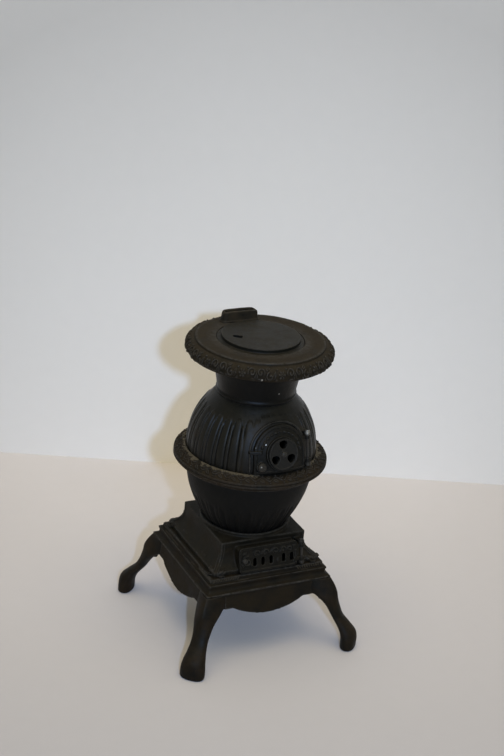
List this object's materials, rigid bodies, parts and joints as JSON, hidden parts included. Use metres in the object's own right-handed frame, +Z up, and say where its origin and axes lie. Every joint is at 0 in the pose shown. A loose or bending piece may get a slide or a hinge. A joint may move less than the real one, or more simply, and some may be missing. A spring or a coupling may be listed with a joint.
{
  "type": "potbelly stove",
  "caption": "Small cast-iron potbelly stove on splayed legs, with a hinged ash door, round fire pot, arched feed door with a draught wheel, flared neck and a round top with a lift-off lid.",
  "frame": {"origin": "on the floor, below the middle of the stove, on the axis of its round body", "axes": "+Z up, -Y to the front, where both doors are, +X to the right as seen from the front"},
  "size_m": [0.2096, 0.2096, 0.3525],
  "materials": {
    "warm_iron": "dull black with brown rust and dust",
    "steel_fasteners": "dark steel, worn bright at the edges",
    "black_iron": "dull black stove polish",
    "worn_iron": "black worn to grey metal"
  },
  "bodies": {
    "stove": {"base_plate": "warm_iron", "leg_front_left": "warm_iron", "leg_front_right": "warm_iron", "leg_rear_left": "warm_iron", "leg_rear_right": "warm_iron", "leg_screws": "steel_fasteners", "ash_box": "black_iron", "box_screws": "steel_fasteners", "ash_door_pin": "steel_fasteners", "fire_pot": "black_iron", "grate": "black_iron", "pot_bolts": "steel_fasteners", "waist_ring": "warm_iron", "waist_bolts": "steel_fasteners", "body_shell": "black_iron", "feed_door_pin": "steel_fasteners", "neck": "black_iron", "neck_bolts": "steel_fasteners", "bolt_nuts": "steel_fasteners", "top_plate": "warm_iron", "top_screws": "steel_fasteners", "flue_collar": "black_iron"},
    "feed_door": {"feed_door": "black_iron", "feed_door_knob": "worn_iron", "wheel_rivet": "steel_fasteners"},
    "draught_wheel": {"draught_wheel": "worn_iron"},
    "ash_door": {"ash_door": "black_iron", "ash_door_knob": "worn_iron"},
    "lid": {"lid": "warm_iron"}
  },
  "joints": [
    {"name": "feed_door_hinge", "type": "hinge", "parent": "stove", "child": "feed_door", "pos_m": [0.034, -0.06291, 0.23778], "axis": [0, 0.2441, 0.9697], "range_deg": [0, 110]},
    {"name": "draught_wheel_spin", "type": "hinge", "parent": "feed_door", "child": "draught_wheel", "pos_m": [0, -0.07261, 0.24022], "axis": [0, -0.9697, 0.2441], "continuous": true},
    {"name": "ash_door_hinge", "type": "hinge", "parent": "stove", "child": "ash_door", "pos_m": [0.04, -0.06402, 0.11303], "axis": [0, 0.2079, 0.9781], "range_deg": [0, 105]},
    {"name": "lid_lift", "type": "slide", "parent": "stove", "child": "lid", "axis": [0, 0, 1], "range_m": [0, 0.05]}
  ]
}
